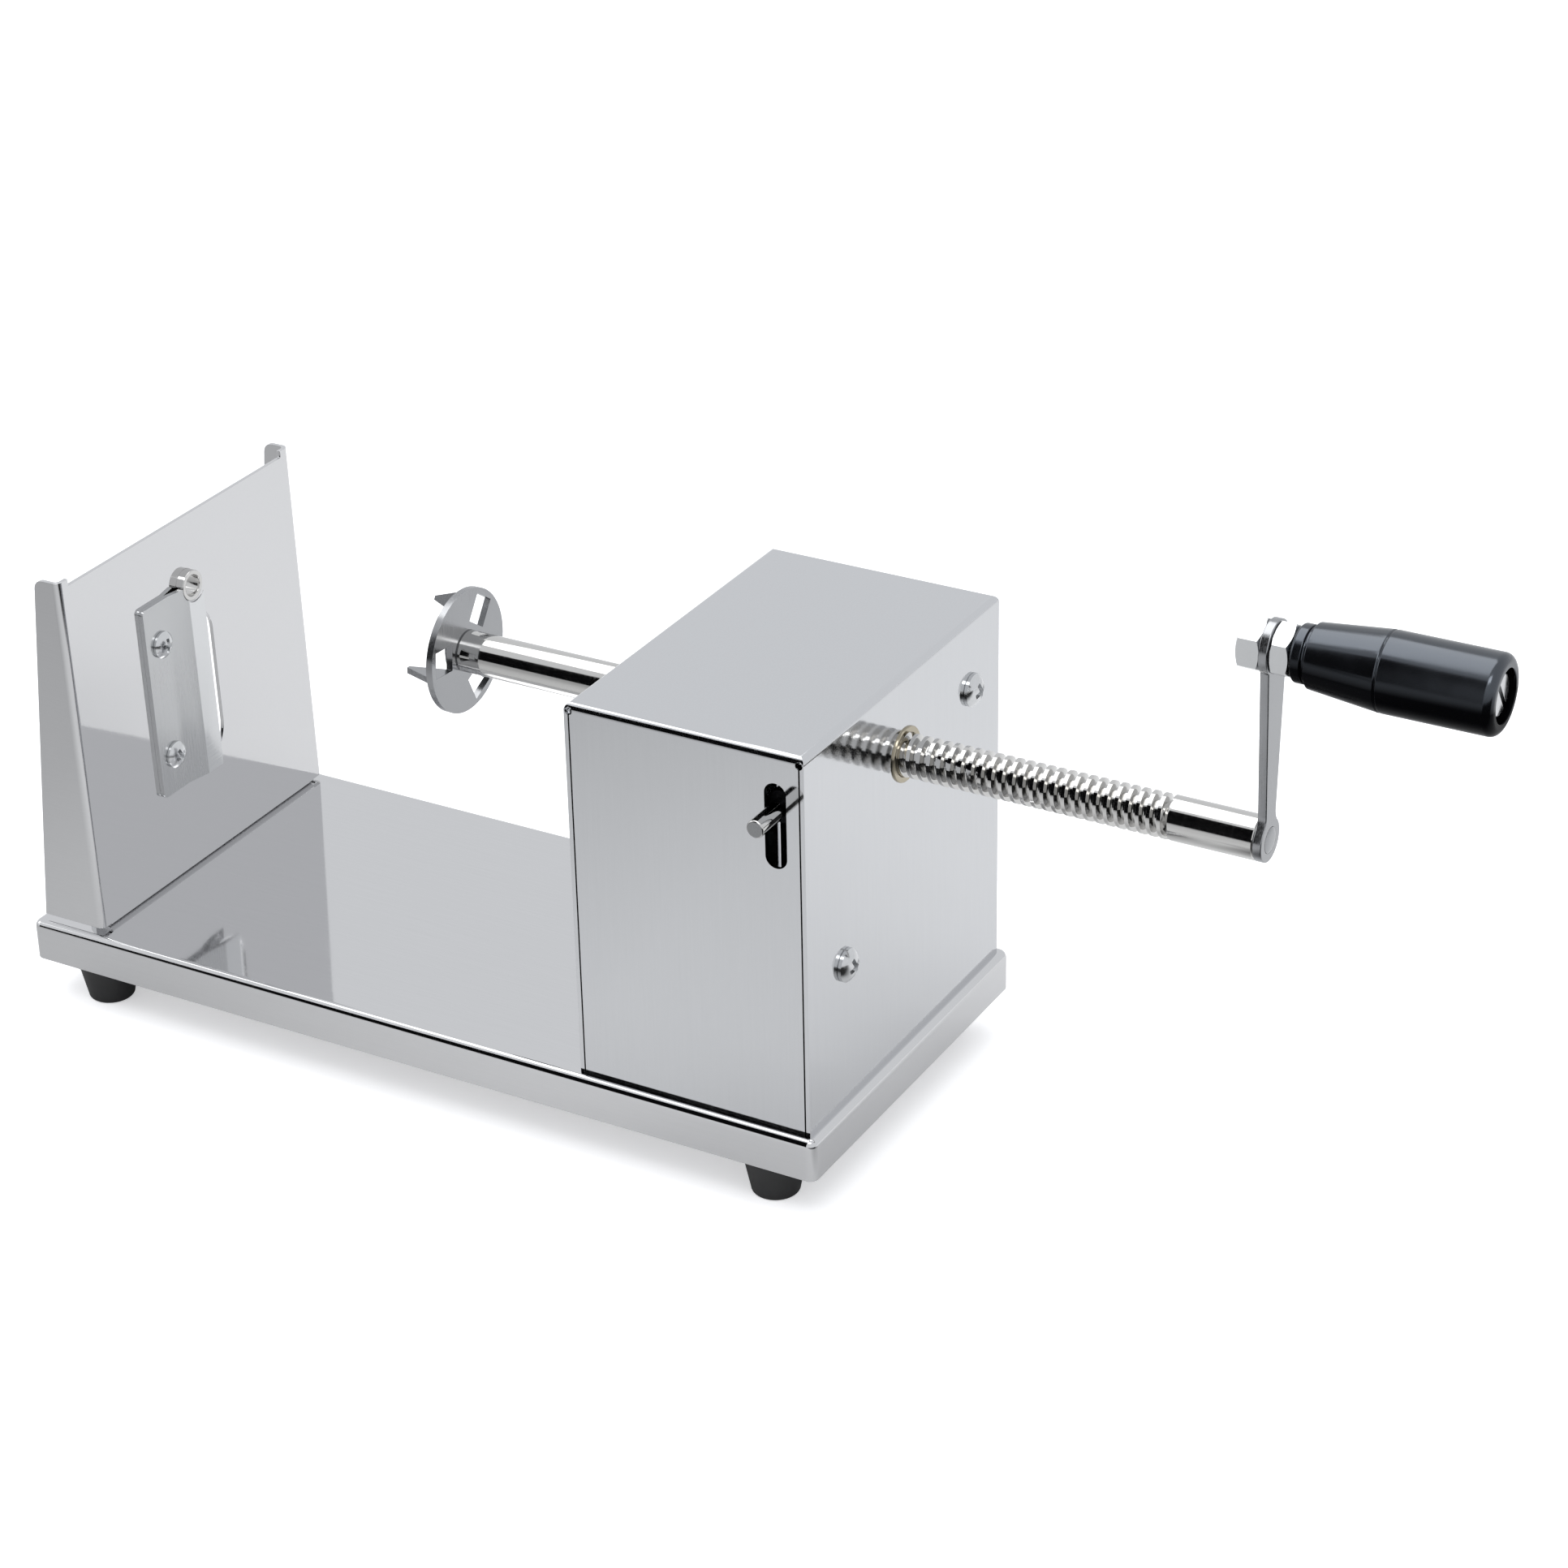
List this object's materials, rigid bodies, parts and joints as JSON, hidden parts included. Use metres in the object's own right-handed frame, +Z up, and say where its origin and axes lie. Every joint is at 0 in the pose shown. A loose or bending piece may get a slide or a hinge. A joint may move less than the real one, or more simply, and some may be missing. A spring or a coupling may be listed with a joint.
{
  "type": "tornado potato cutter",
  "caption": "Hand-cranked spiral potato cutter: sheet-steel tray and housing, slotted blade plate, screw-fed rod with pronged disc, cranked grip and a release pin.",
  "frame": {"origin": "on the floor under the middle of the bounding box", "axes": "+X along the tray towards the crank, +Y away from the finger pin, +Z up"},
  "size_m": [0.4204, 0.1238, 0.1784],
  "materials": {
    "sheet_steel": "polished stainless sheet, lightly brushed on the housing",
    "polished_steel": "turned and polished stainless steel",
    "blade_steel": "ground and polished blade steel",
    "fastener_steel": "bright stainless fasteners",
    "plain_steel": "pressed steel, dull",
    "spring_steel": "drawn spring wire",
    "bronze": "machined bronze",
    "rubber": "moulded black rubber, satin",
    "black_plastic": "moulded black plastic, glossy"
  },
  "bodies": {
    "base": {"tray": "sheet_steel", "rubber_feet": "rubber", "foot_screws": "fastener_steel", "foot_nuts": "fastener_steel", "blade_bracket": "sheet_steel", "skewer_guide": "polished_steel", "blade": "blade_steel", "blade_screws": "fastener_steel", "blade_nuts": "fastener_steel", "housing": "sheet_steel", "housing_screws": "fastener_steel", "housing_nuts": "fastener_steel", "left_bush": "polished_steel", "right_bush": "polished_steel", "pivot_sleeve": "plain_steel", "pivot_screw": "fastener_steel", "pivot_nut": "fastener_steel", "spring_seat": "plain_steel", "seat_screw": "fastener_steel", "seat_nut": "fastener_steel", "return_spring": "spring_steel"},
    "lever": {"release_lever": "plain_steel", "finger_pin": "polished_steel", "half_nut": "bronze", "half_nut_screws": "fastener_steel"},
    "ring": {"disc_ring": "fastener_steel"},
    "crank": {"feed_rod": "polished_steel", "drive_disc": "polished_steel", "crank_arm": "polished_steel", "axle_nut": "fastener_steel", "axle_collar": "fastener_steel", "grip_axle": "polished_steel"},
    "handle": {"grip": "black_plastic"}
  },
  "joints": [
    {"name": "release", "type": "hinge", "parent": "base", "child": "lever", "pos_m": [0.0387, 0.04215, 0.116], "axis": [1, 0, 0], "range_deg": [0, 8], "stiffness_Nm_per_rad": 5.3, "springref_deg": -5.73, "deforming": ["return_spring"]},
    {"name": "feed", "type": "slide", "parent": "base", "child": "ring", "axis": [-1, 0, 0], "range_m": [-0.0421, 0.0751]},
    {"name": "crank_turn", "type": "hinge", "parent": "ring", "child": "crank", "pos_m": [-0.0907, 0.00385, 0.1139], "axis": [-1, 0, 0], "range_deg": [-5040, 9000]},
    {"name": "grip_spin", "type": "hinge", "parent": "crank", "child": "handle", "pos_m": [0.1567, 0.00385, 0.1679], "axis": [-1, 0, 0], "continuous": true}
  ],
  "couplings": [
    {"joint": "feed", "follows": "crank_turn", "m_per_rad": 0.00047746}
  ]
}
